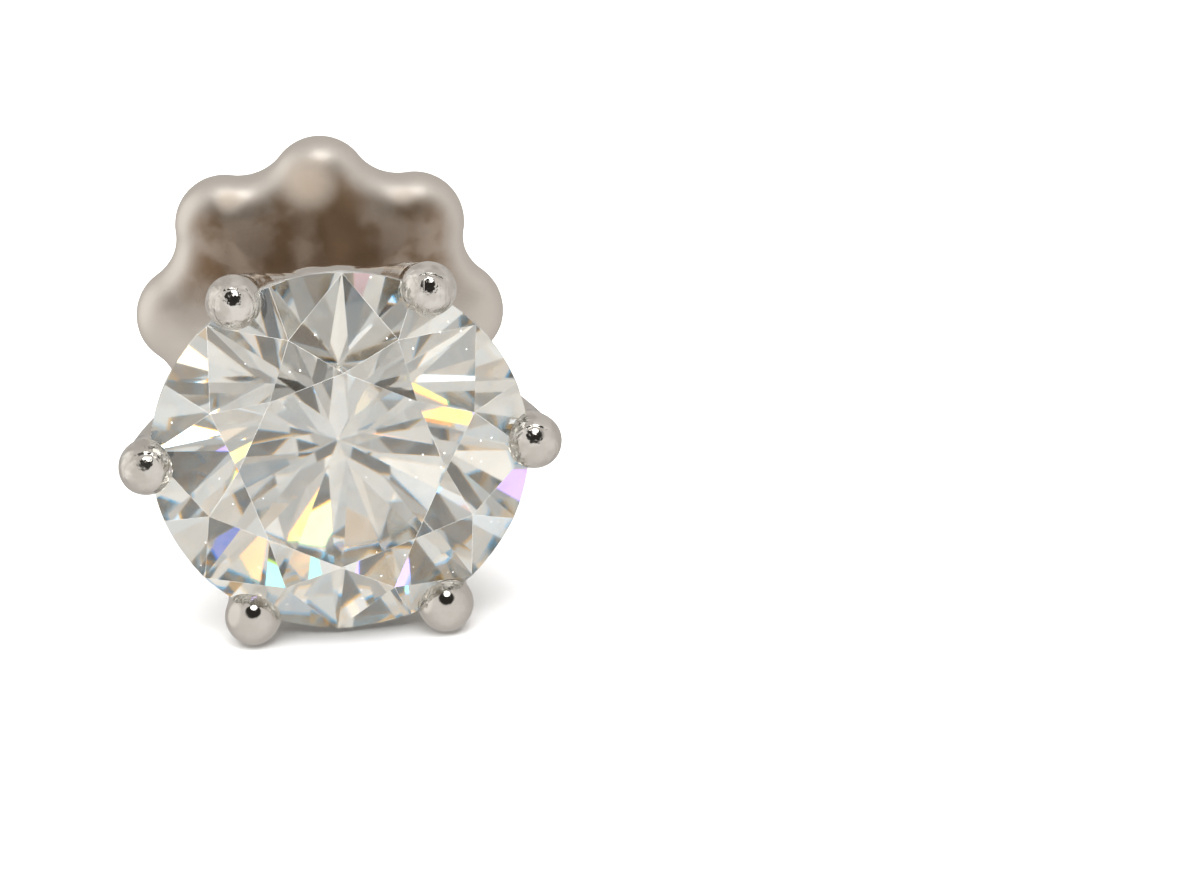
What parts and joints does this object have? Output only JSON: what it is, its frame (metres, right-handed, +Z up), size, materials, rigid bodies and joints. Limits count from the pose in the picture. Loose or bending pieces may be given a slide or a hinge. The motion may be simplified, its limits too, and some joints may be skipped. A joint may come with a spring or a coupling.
{
  "type": "stud earring",
  "caption": "Stud earring: a round faceted clear stone held in a pronged crown setting, with a plain post through the earlobe and a scalloped screw back.",
  "frame": {"origin": "bottom centre of the whole stud's box, on the surface that it rests on", "axes": "+Z up, +Y from the stone towards the screw back, +X to the right of someone who looks at the stone's table"},
  "size_m": [0.0076, 0.0144, 0.0066],
  "materials": {
    "diamond": "polished facets",
    "white_gold": "polished",
    "white_gold_back": "satin polish"
  },
  "bodies": {
    "stud": {"stone": "diamond", "setting": "white_gold", "ear_post": "white_gold"},
    "back": {"screw_back": "white_gold_back"}
  },
  "joints": [
    {"name": "back_slide", "type": "slide", "parent": "stud", "child": "back", "axis": [0, 0.9999, -0.0135], "range_m": [-0.00025, 0.0072]}
  ]
}
